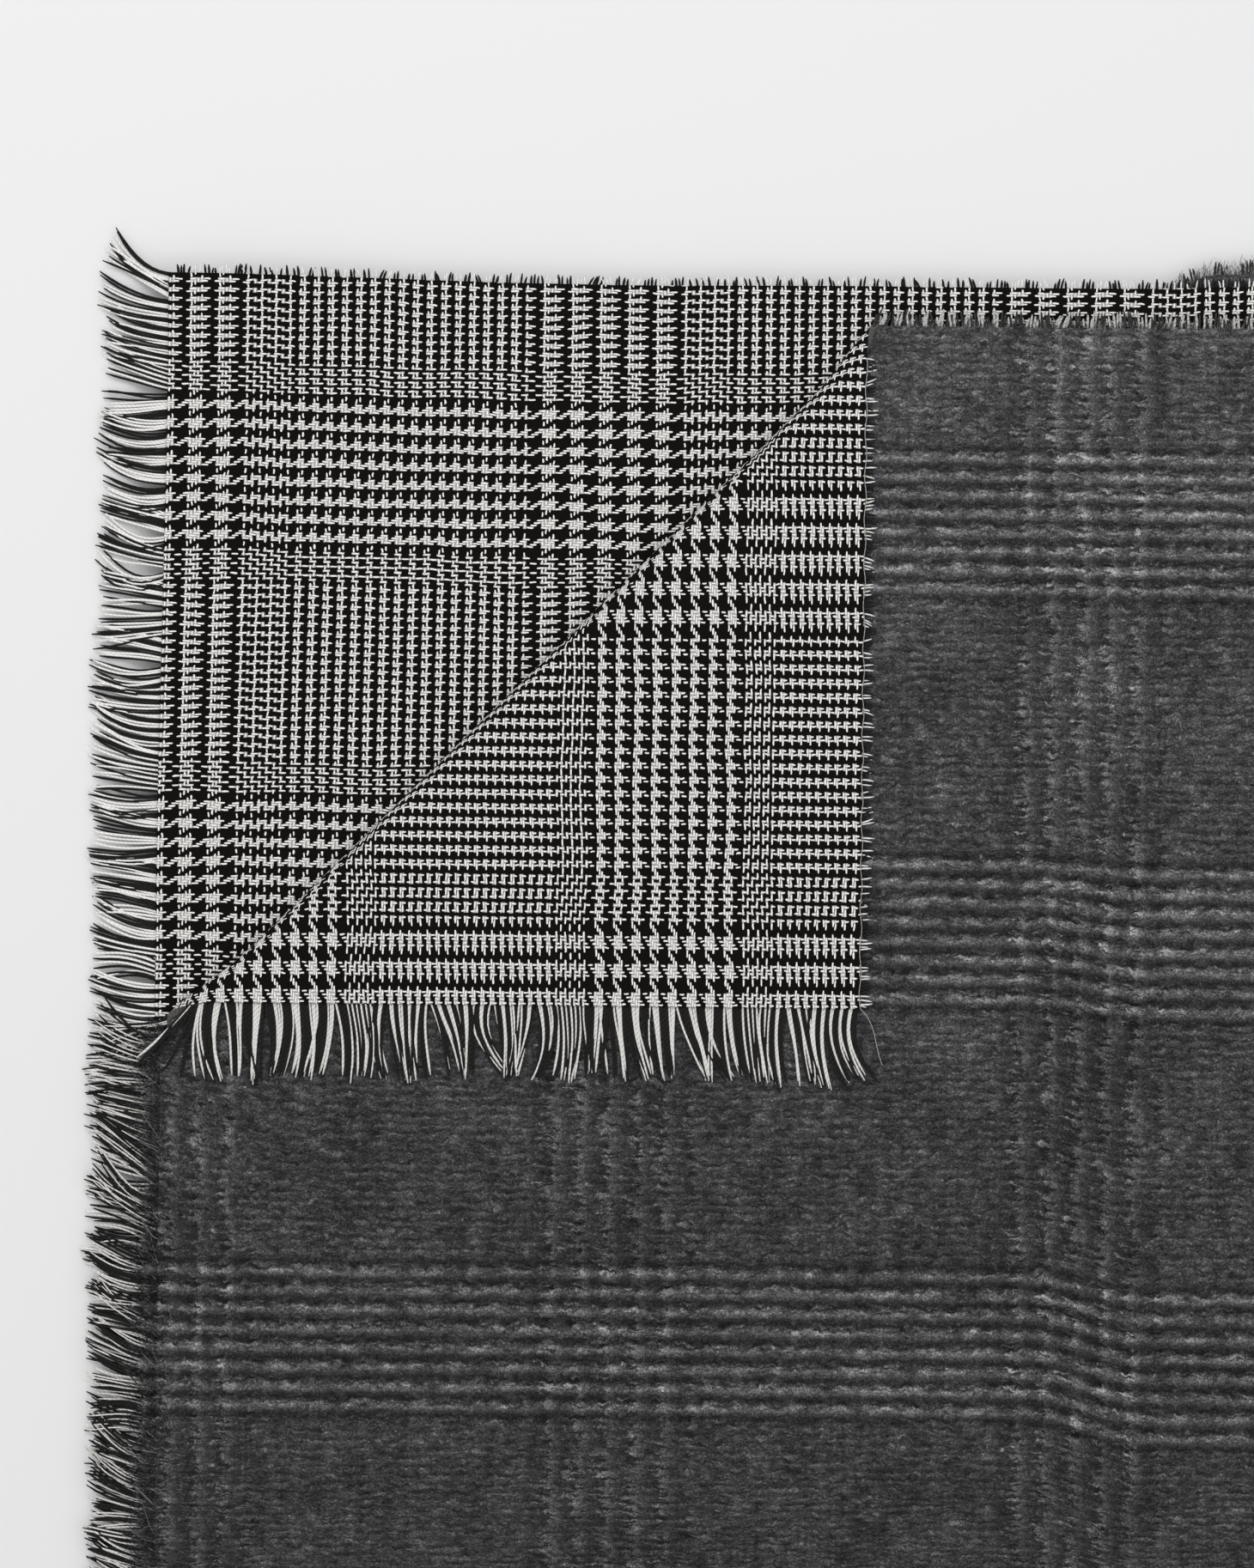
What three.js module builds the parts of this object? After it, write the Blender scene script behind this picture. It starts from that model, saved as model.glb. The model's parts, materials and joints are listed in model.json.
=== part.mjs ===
// A woollen throw folded into quarters, with one corner of its top layer turned back over itself.
//
// The cloth is first folded from front to back, then from side to side. Four layers lie on each other,
// and the turned corner lies on them as a fifth. X runs along the warp, from the fringed edges to the
// side fold. Y runs from the front fold to the cut edges. Every layer is named by its place in the pile.
import * as THREE from 'three';

// The cloth as it was cut, in millimetres.
const CLOTH_LENGTH = 1800;
const CLOTH_WIDTH = 1300;
const THICKNESS = 3;

// How it was folded. The upper half is the longer one, so the lower half's fringes end beneath it.
// The crease meets two edges of the top layer, each at CREASE_LEG from their corner. The corner comes to
// lie at CORNER, in from the fringed edge and from the cut edge. That is a little short of where a pressed
// crease would bring it, because the soft cloth takes up length as it turns.
const LAYER_GAP = 0.4;
const UPPER_LENGTH = 922;
const EDGE_STEP = 18;
const CREASE_LEG = 338.5;
const CORNER = { fromFringe: 325, fromCut: 321 };
const SEAM_GAP = 0.3;

// The yarn ends: long ones on the two ends of the warp, short ones on the two cut edges.
const FRINGE = { length: 38, root: 3, pitch: 20, tuft: 13, tip: 8, thickness: 1.6 };
const CUT_ENDS = { length: 5, root: 1.5, pitch: 30, tuft: 21, tip: 18, thickness: 1 };
const THREAD_RADIUS = 0.4;
const THREAD_TAIL = new THREE.Vector2(7, -27);

// Worked out from the above.
const LAYER_PITCH = THICKNESS + LAYER_GAP;
const INNER_BEND = { inside: LAYER_GAP / 2, outside: LAYER_GAP / 2 + THICKNESS };
const OUTER_BEND = { inside: INNER_BEND.inside + LAYER_PITCH, outside: INNER_BEND.outside + LAYER_PITCH };
const arcLength = (bend) => (Math.PI * (bend.inside + bend.outside)) / 2;
const PANELS_ACROSS = CLOTH_WIDTH - arcLength(INNER_BEND);
const NARROW = (PANELS_ACROSS - EDGE_STEP) / 2;
const WIDE = (PANELS_ACROSS + EDGE_STEP) / 2;
const THIRD_LENGTH = CLOTH_LENGTH - UPPER_LENGTH - arcLength(INNER_BEND);
const BOTTOM_LENGTH = CLOTH_LENGTH - UPPER_LENGTH - arcLength(OUTER_BEND);
const SIDE_FOLD_X = UPPER_LENGTH;
const SIDE_FOLD_Z = 2 * LAYER_PITCH - LAYER_GAP / 2;
const CREASE_Y = NARROW - CREASE_LEG;
const CORNER_Y = NARROW - CORNER.fromCut;
const FLAP_LEG = CORNER.fromFringe + CORNER.fromCut - CREASE_LEG;

// The pile, from the bottom up: the layer's place, where its fringed edge is, and its width.
const LAYERS = {
  bottom: { place: 0, left: SIDE_FOLD_X - BOTTOM_LENGTH, width: NARROW },
  third: { place: 1, left: SIDE_FOLD_X - THIRD_LENGTH, width: WIDE },
  second: { place: 2, left: 0, width: WIDE },
  top: { place: 3, left: 0, width: NARROW },
  corner: { place: 4 },
};

const COLOURS = {
  check: { color: 0x77756f, roughness: 0.95, metalness: 0 },
  brushed: { color: 0x3e3f42, roughness: 1, metalness: 0 },
  fringe: { color: 0x8d8a84, roughness: 0.95, metalness: 0 },
  thread: { color: 0xd8d4cb, roughness: 0.9, metalness: 0 },
};

const UP = new THREE.Vector3(0, 0, 1);
const throwBlanket = new THREE.Group();

// The pile is drawn from its front left corner, and stands with the middle of its box on the origin.
const pile = new THREE.Group();
const boxLeft = -SEAM_GAP - FRINGE.length;
const boxRight = SIDE_FOLD_X + OUTER_BEND.outside;
const boxFront = -INNER_BEND.outside;
const boxBack = WIDE + SEAM_GAP + CUT_ENDS.length;
pile.position.set(-(boxLeft + boxRight) / 2, -(boxFront + boxBack) / 2, 0);
throwBlanket.add(pile);

function layerBottom(layer) {
  return layer.place * LAYER_PITCH;
}

function addPiece(name, look, geometry) {
  const mesh = new THREE.Mesh(geometry, new THREE.MeshStandardMaterial(COLOURS[look]));
  mesh.name = name;
  pile.add(mesh);
  return mesh;
}

function slab(points, thickness) {
  return new THREE.ExtrudeGeometry(new THREE.Shape(points), { depth: thickness, bevelEnabled: false });
}

// A flat stretch of cloth with the outline given, lying at its layer's height.
function addPanel(name, look, layer, corners) {
  const points = corners.map(([x, y]) => new THREE.Vector2(x, y));
  const panel = addPiece(name, look, slab(points, THICKNESS));
  panel.position.z = layerBottom(layer);
}

function addPlainPanel(name, look, layer) {
  const right = SIDE_FOLD_X - SEAM_GAP;
  addPanel(name, look, layer, [
    [layer.left, SEAM_GAP],
    [right, SEAM_GAP],
    [right, layer.width],
    [layer.left, layer.width],
  ]);
}

// The top layer, without the corner that is turned back.
function addTopPanel() {
  const right = SIDE_FOLD_X - SEAM_GAP;
  const gap = SEAM_GAP * Math.SQRT2;
  addPanel('top_panel', 'brushed', LAYERS.top, [
    [0, SEAM_GAP],
    [right, SEAM_GAP],
    [right, NARROW],
    [CREASE_LEG + gap, NARROW],
    [0, CREASE_Y - gap],
  ]);
}

// The turned corner: a right-angled triangle with its long side on the crease.
function addCornerFlap() {
  const leg = FLAP_LEG - SEAM_GAP * Math.SQRT2;
  addPanel('corner_flap', 'check', LAYERS.corner, [
    [CORNER.fromFringe - leg, CORNER_Y],
    [CORNER.fromFringe, CORNER_Y],
    [CORNER.fromFringe, CORNER_Y + leg],
  ]);
}

function arcPoints(radius, from, to, steps) {
  const points = [];
  for (let i = 0; i <= steps; i += 1) {
    const angle = from + ((to - from) * i) / steps;
    points.push(new THREE.Vector2(radius * Math.cos(angle), radius * Math.sin(angle)));
  }
  return points;
}

// Cloth bent through half a circle. It bulges along `bulge` and runs from `start` along bulge x up.
function addFold(name, look, bend, start, bulge, length) {
  const quarter = Math.PI / 2;
  const outside = arcPoints(bend.outside, -quarter, quarter, 10);
  const inside = arcPoints(bend.inside, quarter, -quarter, 4);
  const shape = new THREE.Shape([...outside, ...inside]);
  const fold = addPiece(name, look, new THREE.ExtrudeGeometry(shape, { depth: length, bevelEnabled: false }));
  const along = new THREE.Vector3().crossVectors(bulge, UP);
  fold.quaternion.setFromRotationMatrix(new THREE.Matrix4().makeBasis(bulge, UP, along));
  fold.position.copy(start);
}

function addFrontFold(name, look, lowerLayer) {
  const z = layerBottom(lowerLayer) + THICKNESS + LAYER_GAP / 2;
  const right = SIDE_FOLD_X - SEAM_GAP;
  const start = new THREE.Vector3(right, 0, z);
  addFold(name, look, INNER_BEND, start, new THREE.Vector3(0, -1, 0), right - lowerLayer.left);
}

function addSideFold(name, look, bend, width) {
  const start = new THREE.Vector3(SIDE_FOLD_X, width, SIDE_FOLD_Z);
  addFold(name, look, bend, start, new THREE.Vector3(1, 0, 0), width - SEAM_GAP);
}

function addCrease() {
  const trim = INNER_BEND.outside + SEAM_GAP;
  const along = new THREE.Vector3(1, 1, 0).normalize();
  const end = CORNER.fromFringe - FLAP_LEG;
  const start = new THREE.Vector3(end, CORNER_Y, layerBottom(LAYERS.corner) - LAYER_GAP / 2);
  start.addScaledVector(along, trim);
  const bulge = new THREE.Vector3(-1, 1, 0).normalize();
  addFold('corner_crease', 'check', INNER_BEND, start, bulge, FLAP_LEG * Math.SQRT2 - 2 * trim);
}

// Yarn ends along an edge: tufts that stand on a narrow root strip, drawn along +X and pointing to +Y.
function tuftOutline(ends, edgeLength) {
  const count = Math.floor(edgeLength / ends.pitch);
  const margin = (edgeLength - count * ends.pitch) / 2;
  const points = [new THREE.Vector2(0, 0), new THREE.Vector2(edgeLength, 0)];
  points.push(new THREE.Vector2(edgeLength, ends.root));
  for (let i = count - 1; i >= 0; i -= 1) {
    const middle = margin + (i + 0.5) * ends.pitch;
    points.push(new THREE.Vector2(middle + ends.tuft / 2, ends.root));
    points.push(new THREE.Vector2(middle + ends.tip / 2, ends.length));
    points.push(new THREE.Vector2(middle - ends.tip / 2, ends.length));
    points.push(new THREE.Vector2(middle - ends.tuft / 2, ends.root));
  }
  points.push(new THREE.Vector2(0, ends.root));
  return points;
}

function addYarnEnds(name, ends, layer, start, turn, edgeLength) {
  const piece = addPiece(name, 'fringe', slab(tuftOutline(ends, edgeLength), ends.thickness));
  piece.position.set(start[0], start[1], layerBottom(layer) + (THICKNESS - ends.thickness) / 2);
  piece.rotation.z = turn;
}

function addFringe(name, layer, edgeLength) {
  addYarnEnds(name, FRINGE, layer, [layer.left - SEAM_GAP, 0], Math.PI / 2, edgeLength);
}

function addCutEdge(name, layer, from, to) {
  addYarnEnds(name, CUT_ENDS, layer, [from, layer.width + SEAM_GAP], 0, to - from);
}

// The thin thread that holds the turned corner's cut ends, with a loose tail past the corner.
function addCatchThread() {
  const x = CORNER.fromFringe + SEAM_GAP + 2 * THREAD_RADIUS;
  const z = layerBottom(LAYERS.corner) + THICKNESS - THREAD_RADIUS;
  const path = new THREE.CurvePath();
  const top = new THREE.Vector3(x, CORNER_Y + FLAP_LEG - SEAM_GAP - THREAD_RADIUS, z);
  const corner = new THREE.Vector3(x, CORNER_Y, z);
  const bend = new THREE.Vector3(x, CORNER_Y + THREAD_TAIL.y / 2, z);
  const end = new THREE.Vector3(x + THREAD_TAIL.x, CORNER_Y + THREAD_TAIL.y, z);
  path.add(new THREE.LineCurve3(top, corner));
  path.add(new THREE.QuadraticBezierCurve3(corner, bend, end));
  const section = new THREE.Shape(arcPoints(THREAD_RADIUS, 0, 2 * Math.PI * (7 / 8), 7));
  const options = { steps: 24, bevelEnabled: false, extrudePath: path };
  addPiece('catch_thread', 'thread', new THREE.ExtrudeGeometry(section, options));
}

addPlainPanel('bottom_panel', 'check', LAYERS.bottom);
addPlainPanel('third_panel', 'brushed', LAYERS.third);
addPlainPanel('second_panel', 'check', LAYERS.second);
addTopPanel();
addCornerFlap();

addFrontFold('lower_front_fold', 'brushed', LAYERS.bottom);
addFrontFold('upper_front_fold', 'brushed', LAYERS.second);
addSideFold('side_fold_inner', 'check', INNER_BEND, WIDE);
addSideFold('side_fold_outer', 'brushed', OUTER_BEND, NARROW);
addCrease();

addFringe('bottom_fringe', LAYERS.bottom, NARROW);
addFringe('third_fringe', LAYERS.third, WIDE);
addFringe('second_fringe', LAYERS.second, WIDE);
addFringe('top_fringe', LAYERS.top, CREASE_Y - SEAM_GAP);
addCutEdge('bottom_cut_edge', LAYERS.bottom, LAYERS.bottom.left, SIDE_FOLD_X);
addCutEdge('third_cut_edge', LAYERS.third, LAYERS.third.left, SIDE_FOLD_X);
addCutEdge('second_cut_edge', LAYERS.second, 0, SIDE_FOLD_X);
addCutEdge('top_cut_edge', LAYERS.top, CREASE_LEG + 1, SIDE_FOLD_X);

const flapEdge = FLAP_LEG - SEAM_GAP;
const fringeStart = [CORNER.fromFringe, CORNER_Y - SEAM_GAP];
const cutStart = [CORNER.fromFringe + SEAM_GAP, CORNER_Y + flapEdge];
addYarnEnds('corner_fringe', FRINGE, LAYERS.corner, fringeStart, Math.PI, flapEdge);
addYarnEnds('corner_cut_edge', CUT_ENDS, LAYERS.corner, cutStart, -Math.PI / 2, flapEdge);
addCatchThread();

export default throwBlanket;
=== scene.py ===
"""The looks of a woollen throw folded into quarters, with one corner of its top layer turned back.

One face of the cloth is a black and white woven check, the other a brushed charcoal pile. The cloth is
bent by formula around its folds, so the yarn count that the materials read runs on through every fold.
"""
import json
import math

import bmesh
import bpy
import numpy as np
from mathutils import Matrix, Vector


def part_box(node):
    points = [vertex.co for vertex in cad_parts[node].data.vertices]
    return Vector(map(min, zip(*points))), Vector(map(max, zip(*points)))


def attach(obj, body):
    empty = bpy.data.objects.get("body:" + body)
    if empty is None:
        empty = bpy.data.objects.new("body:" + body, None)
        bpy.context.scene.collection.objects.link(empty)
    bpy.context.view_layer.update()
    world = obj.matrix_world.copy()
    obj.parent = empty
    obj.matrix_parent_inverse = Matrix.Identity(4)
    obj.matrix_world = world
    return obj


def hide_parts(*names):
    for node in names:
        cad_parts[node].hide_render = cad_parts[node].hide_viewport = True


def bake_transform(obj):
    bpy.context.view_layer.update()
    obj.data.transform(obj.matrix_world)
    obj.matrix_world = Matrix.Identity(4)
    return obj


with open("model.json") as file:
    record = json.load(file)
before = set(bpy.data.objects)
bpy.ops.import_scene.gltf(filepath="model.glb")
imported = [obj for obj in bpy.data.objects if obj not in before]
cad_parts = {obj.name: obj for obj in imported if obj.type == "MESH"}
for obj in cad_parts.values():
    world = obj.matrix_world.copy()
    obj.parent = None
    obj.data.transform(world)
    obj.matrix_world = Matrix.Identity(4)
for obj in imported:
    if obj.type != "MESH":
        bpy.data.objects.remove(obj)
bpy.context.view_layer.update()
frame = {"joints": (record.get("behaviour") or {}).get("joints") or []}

MM = 0.001

# The cloth. A warp yarn runs along X. The check counts yarns, and its zones are given in yarns.
# From its start, a repeat has groups of four, then single yarns, then pairs. The warp ends with single yarns.
# FIRST_WEFT is the count at each strip's fringed edge.
WARP_PITCH = 1.0833 * MM
WARP_START = 51
WARP_REPEAT = 172
WARP_GROUPS_END = 68
WARP_SINGLES_END = 81
WARP_PAIRS_END = 159
WEFT_PITCH = 1.664 * MM
WEFT_START = 99
WEFT_REPEAT = 132
WEFT_GROUPS_END = 44
WEFT_SINGLES_END = 57
FIRST_WEFT = {"outer": -5.0, "inner": -1.0}

# The first wefts from the fringed edge have their pattern a little further on than the rest.
EARLY_WEFTS = 60
EARLY_SHIFT = 8


def joint(name):
    return next(j for j in frame["joints"] if j["name"] == name)


def middle(node):
    low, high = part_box(node)
    return (low + high) / 2


# The pile of layers, read from the frame.
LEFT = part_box("second_panel")[0].x
FOLD_X = joint("half_opens")["pos_m"][0]
FOLD_Z = joint("half_opens")["pos_m"][2]
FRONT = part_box("upper_front_fold")[1].y
OUTER_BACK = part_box("top_panel")[1].y
INNER_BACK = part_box("second_panel")[1].y
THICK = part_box("second_panel")[1].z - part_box("second_panel")[0].z
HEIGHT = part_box("corner_flap")[1].z
LAYER_Z = {
    "bottom": middle("bottom_panel").z,
    "third": middle("third_panel").z,
    "second": middle("second_panel").z,
    "top": middle("top_panel").z,
    "corner": middle("corner_flap").z,
}
BEND = (LAYER_Z["top"] - LAYER_Z["second"]) / 2
OUTER_WIDTH = OUTER_BACK - FRONT
INNER_WIDTH = INNER_BACK - FRONT
ARC = math.pi * BEND
CLOTH_WIDTH = OUTER_WIDTH + ARC + INNER_WIDTH
UPPER_LENGTH = FOLD_X - LEFT
BOTTOM_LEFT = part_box("bottom_panel")[0].x
THIRD_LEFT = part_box("third_panel")[0].x
CREASE_MIDDLE = Vector(joint("corner_turns_back")["pos_m"])
CORNER_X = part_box("corner_flap")[1].x
CORNER_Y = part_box("corner_flap")[0].y
CREASE_LEG = (CREASE_MIDDLE.x - LEFT) + (OUTER_BACK - CREASE_MIDDLE.y)
FLAP_LEG = (CORNER_X - LEFT) + (OUTER_BACK - CORNER_Y) - CREASE_LEG


def smooth(x, low, high):
    t = np.clip((np.asarray(x, float) - low) / (high - low), 0, 1)
    return t * t * (3 - 2 * t)


# -------------------------------- how the pile lies
# Amounts are in millimetres. Places are in metres from the fringed edge, or from a cut edge or fold.


def drift(layer, x, y):
    """How far a layer's edge wanders towards the back, in metres. It fades towards both folds."""
    along = x - LEFT
    back = smooth(y, FRONT + 0.25, INNER_BACK)
    if layer == "second":
        at_corner = 4.0 * np.exp(-((along / 0.13) ** 2))
        beside_flap = 1.0 * smooth(along, 0.2, 0.32)
        past_crease = 2.6 * smooth(along, 0.44, 0.56)
        before_fold = 1 - smooth(along, 0.7, 0.9)
        return (at_corner + beside_flap + past_crease) * before_fold * MM * back
    if layer == "third":
        seen = smooth(along, 0.455, 0.49)
        shown = 16.0 * seen * (1 - smooth(along, 0.70, 0.86)) - 6.5
        ripple = 1.2 * np.sin(along * 61) * seen
        return (shown + ripple) * MM * back
    return np.zeros_like(along)


def pull(x, y):
    """How far the top layer's cloth is stretched to the front, in metres: 0 at its edges and folds."""
    along, down = x - LEFT, OUTER_BACK - y
    beyond_crease = smooth(along + down - CREASE_LEG, 0, 0.09)
    inside = smooth(y, FRONT, FRONT + 0.14) * (1 - smooth(along, 0.60, 0.86))
    stretched = 14.5 * np.clip((down - 0.09) / 0.389, 0, None) ** 1.2
    skewed = 1 + 0.78 * smooth(along, 0.405, 0.46)
    return stretched * skewed * beyond_crease * inside * MM


def swell(x, y):
    """The soft unevenness of the whole pile, as a share of its height: 0 at the folds that move."""
    long_wave = np.sin(7.3 * x + 2.1 * y + 0.6) * np.sin(5.1 * y - 2.7 * x + 1.9)
    middle_wave = np.sin(17.0 * x - 9.0 * y + 0.4) * np.sin(13.0 * y + 6.0 * x)
    short_wave = np.sin(39.0 * x + 11.0 * y) * np.sin(33.0 * y - 21.0 * x + 2.2)
    from_crease = np.abs((x - CREASE_MIDDLE.x) - (y - CREASE_MIDDLE.y)) / math.sqrt(2)
    calm = smooth(from_crease, 0.012, 0.06) * smooth(FOLD_X - x, 0.01, 0.09)
    return (0.10 * long_wave + 0.06 * middle_wave + 0.03 * short_wave) * calm


def settle(points, layer):
    """Lays points of the straight pile where the soft cloth has them. An empty layer only swells."""
    out = np.array(points, float)
    if layer == "second":
        down = INNER_BACK - out[:, 1]
        bowed = 3.0 * MM * (smooth(down, 0.03, 0.30) * (1 - smooth(down, 0.42, 0.60)))
        out[:, 0] -= bowed * (1 - smooth(out[:, 0], LEFT + 0.02, LEFT + 0.22))
    if layer == "top":
        out[:, 1] -= pull(out[:, 0], out[:, 1])
    out[:, 1] += drift(layer, out[:, 0], out[:, 1])
    out[:, 2] *= 1 + swell(out[:, 0], out[:, 1])
    return out


# -------------------------------- bending the flat cloth
# Flat cloth has two lengths: `along` the warp and `across` it, and `side`, the distance towards the
# check face from the middle of the cloth's thickness.


def upper_half(along, across, side):
    """The top layer, the front fold and the second layer. Across starts at the top layer's cut edge."""
    turn = np.clip((across - OUTER_WIDTH) / BEND, 0, math.pi)
    y = FRONT + np.maximum(OUTER_WIDTH - across, 0) + np.maximum(across - OUTER_WIDTH - ARC, 0)
    radius = BEND - side
    y = y - radius * np.sin(turn)
    z = (LAYER_Z["top"] + LAYER_Z["second"]) / 2 + radius * np.cos(turn)
    return np.stack([LEFT + along, y, z], 1)


def lower_half(along, across, side):
    """The same strip of cloth in the lower half, mirrored in the side fold. Along starts at the side fold.

    The bottom layer is shorter, because it goes around the outside of the side fold.
    """
    points = upper_half(along, across, side)
    outer_share = np.clip((OUTER_WIDTH + ARC - across) / ARC, 0, 1)
    shorter = (BOTTOM_LEFT - THIRD_LEFT) / (FOLD_X - THIRD_LEFT)
    points[:, 0] = FOLD_X - along * (1 - shorter * outer_share)
    points[:, 2] = 2 * FOLD_Z - points[:, 2]
    return points


def side_fold(along, across, side):
    """The half turn from the upper half to the lower one. Along is an angle here."""
    points = upper_half(np.zeros_like(along), across, side)
    reach = points[:, 2] - FOLD_Z
    points[:, 0] = FOLD_X + reach * np.sin(along)
    points[:, 2] = FOLD_Z + reach * np.cos(along)
    return points


def flap(along, across, side):
    """The turned corner, lying on the top layer with its check face up."""
    z = LAYER_Z["corner"] + side
    return np.stack([CORNER_X - across, CORNER_Y + along, z], 1)


END_BULGE = 5.3 * MM


def crease(share, end, side):
    """The bend between the top layer and the turned corner.

    share goes around it from 0 to 1, and end runs along it from 0 to 1. It bulges a little at both ends.
    """
    start = CREASE_LEG * np.stack([end, end - 1], 1) + (LEFT, OUTER_BACK)
    finish = FLAP_LEG * np.stack([end - 1, end], 1) + (CORNER_X, CORNER_Y)
    on_line = start * (1 - share)[:, None] + finish * share[:, None]
    radius = BEND + side
    at_ends = smooth(np.abs(end - 0.5), 0.40, 0.5)
    bulge = END_BULGE * at_ends * smooth(share, 0, 0.28) * (1 - smooth(share, 0.28, 1))
    out = (radius * np.sin(math.pi * share) + bulge) / math.sqrt(2)
    z = CREASE_MIDDLE.z - radius * np.cos(math.pi * share)
    return np.stack([on_line[:, 0] - out, on_line[:, 1] + out, z], 1)


def is_inner(across):
    """Whether a place is past the middle of the front fold, in the strip of the second and third layers."""
    return across > OUTER_WIDTH + ARC / 2


def yarn_count(along, across):
    """The cloth's place in yarns: weft yarns along, and warp yarns across, from the nearer cut edge.

    The inner strip's warp yarns have negative counts.
    """
    inner = is_inner(across)
    weft = along / WEFT_PITCH + np.where(inner, FIRST_WEFT["inner"], FIRST_WEFT["outer"])
    warp = np.where(inner, -(CLOTH_WIDTH - across) / WARP_PITCH - 1, across / WARP_PITCH)
    return np.stack([weft, warp], 1)


# -------------------------------- cloth meshes


def steps(start, end, pitch):
    return np.linspace(start, end, max(2, int(math.ceil(abs(end - start) / pitch)) + 1))


def flat_grid(alongs, acrosses, cuts=()):
    """A flat sheet: its points, faces, rim edges, and the face beside each of those edges.

    A cut is (point, normal) of a line. What lies on the normal's side of it is left out.
    """
    bm = bmesh.new()
    rows = [[bm.verts.new((a, b, 0)) for a in alongs] for b in acrosses]
    for low, high in zip(rows, rows[1:]):
        for k in range(len(alongs) - 1):
            bm.faces.new((low[k], low[k + 1], high[k + 1], high[k]))
    for point, normal in cuts:
        every = bm.verts[:] + bm.edges[:] + bm.faces[:]
        bmesh.ops.bisect_plane(
            bm, geom=every, dist=1e-6, plane_co=(*point, 0), plane_no=(*normal, 0), clear_outer=True
        )
    bm.verts.ensure_lookup_table()
    bm.verts.index_update()
    flat = np.array([v.co[:2] for v in bm.verts], float)
    faces = [[v.index for v in f.verts] for f in bm.faces]
    rims = [[v.index for v in e.verts] for e in bm.edges if e.is_boundary]
    owners = [[v.index for v in e.link_faces[0].verts] for e in bm.edges if e.is_boundary]
    bm.free()
    return flat, faces, rims, owners


def add_object(name, points, polys, slots, rounded, materials, layer, values):
    """A mesh object. rounded says which faces are smooth, and the UV layer holds each point's two values."""
    mesh = bpy.data.meshes.new(name)
    mesh.from_pydata(points.tolist(), [], polys)
    for m in materials:
        mesh.materials.append(m)
    mesh.polygons.foreach_set("material_index", slots)
    mesh.polygons.foreach_set("use_smooth", rounded)
    corners = np.zeros(len(mesh.loops), int)
    mesh.loops.foreach_get("vertex_index", corners)
    mesh.uv_layers.new(name=layer).data.foreach_set("uv", values[corners].ravel())
    mesh.update()
    obj = bpy.data.objects.new(name, mesh)
    bpy.context.scene.collection.objects.link(obj)
    return obj


CHECK_SIDE, BRUSHED_SIDE, RIM = 0, 1, 2


def cloth(name, grid, place, materials, layer_of=None, count_of=yarn_count):
    """A closed sheet of the cloth's thickness on a flat grid, with the check, the pile and the edge as slots.

    place bends the flat points, layer_of names the layer of each one, and count_of gives its yarn count.
    """
    flat, faces, rims, owners = grid
    n = len(flat)
    layer_of = np.full(n, "") if layer_of is None else layer_of
    sides = [place(flat[:, 0], flat[:, 1], np.full(n, s * THICK / 2)) for s in (1, -1)]
    for points in sides:
        for layer in np.unique(layer_of):
            mine = layer_of == layer
            points[mine] = settle(points[mine], layer)
    co = np.vstack(sides)
    first = faces[0]
    a, b, c = (co[first[k]] for k in range(3))
    outward = np.cross(b - a, c - b) @ (sides[0][first[0]] - sides[1][first[0]]) > 0
    polys, slots = [], []
    for f in faces:
        polys += [f if outward else f[::-1], [k + n for k in (f[::-1] if outward else f)]]
        slots += [CHECK_SIDE, BRUSHED_SIDE]
    for (p, q), owner in zip(rims, owners):
        follows = owner[(owner.index(p) + 1) % len(owner)] == q
        polys.append([q, p, p + n, q + n] if follows == outward else [p, q, q + n, p + n])
        slots.append(RIM)
    counts = np.tile(count_of(flat[:, 0], flat[:, 1]), (2, 1))
    obj = add_object(name, co, polys, slots, [s != RIM for s in slots], materials, "yarns", counts)
    sharpen_rim(obj.data)
    return obj


def sharpen_rim(mesh):
    """Marks the edges of the rim's faces as sharp."""
    edge_slots = {}
    for p in mesh.polygons:
        for key in p.edge_keys:
            edge_slots.setdefault(key, set()).add(p.material_index)
    for e in mesh.edges:
        e.use_edge_sharp = RIM in edge_slots[e.key]
    mesh.update()


GRID = 7.5 * MM
FRONT_FOLD_STEPS = 8
BEND_STEPS = 16
EDGE_WEFTS = 2 * WEFT_PITCH


def across_lines():
    """Lines across the cloth from one cut edge to the other, closer together in the front fold."""
    outer = steps(0, OUTER_WIDTH, GRID)
    fold = OUTER_WIDTH + ARC * np.arange(1, FRONT_FOLD_STEPS) / FRONT_FOLD_STEPS
    inner = steps(OUTER_WIDTH + ARC, CLOTH_WIDTH, GRID)
    return np.concatenate([outer, fold, inner])


def make_upper_cloth(materials):
    """The top layer without its turned corner, the front fold and the second layer."""
    crease_line = ((CREASE_LEG / 2, CREASE_LEG / 2), (-1, -1))
    alongs = np.concatenate([[-EDGE_WEFTS], steps(0, UPPER_LENGTH, GRID)])
    grid = flat_grid(alongs, across_lines(), [crease_line])
    layers = np.where(is_inner(grid[0][:, 1]), "second", "top")
    return cloth("upper_cloth", grid, upper_half, materials, layers)


def make_lower_cloth(materials):
    grid = flat_grid(steps(0, FOLD_X - THIRD_LEFT, GRID), across_lines())
    layers = np.where(is_inner(grid[0][:, 1]), "third", "bottom")

    def count(along, across):
        past = UPPER_LENGTH + np.where(is_inner(across), ARC, 3 * ARC)
        return yarn_count(past + along, across)

    return cloth("lower_cloth", grid, lower_half, materials, layers, count)


def make_side_fold(materials):
    grid = flat_grid(np.linspace(0, math.pi, BEND_STEPS + 1), across_lines())

    def count(angle, across):
        reach = np.where(is_inner(across), BEND, 3 * BEND)
        return yarn_count(UPPER_LENGTH + angle * reach, across)

    return cloth("side_fold_cloth", grid, side_fold, materials, count_of=count)


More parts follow.
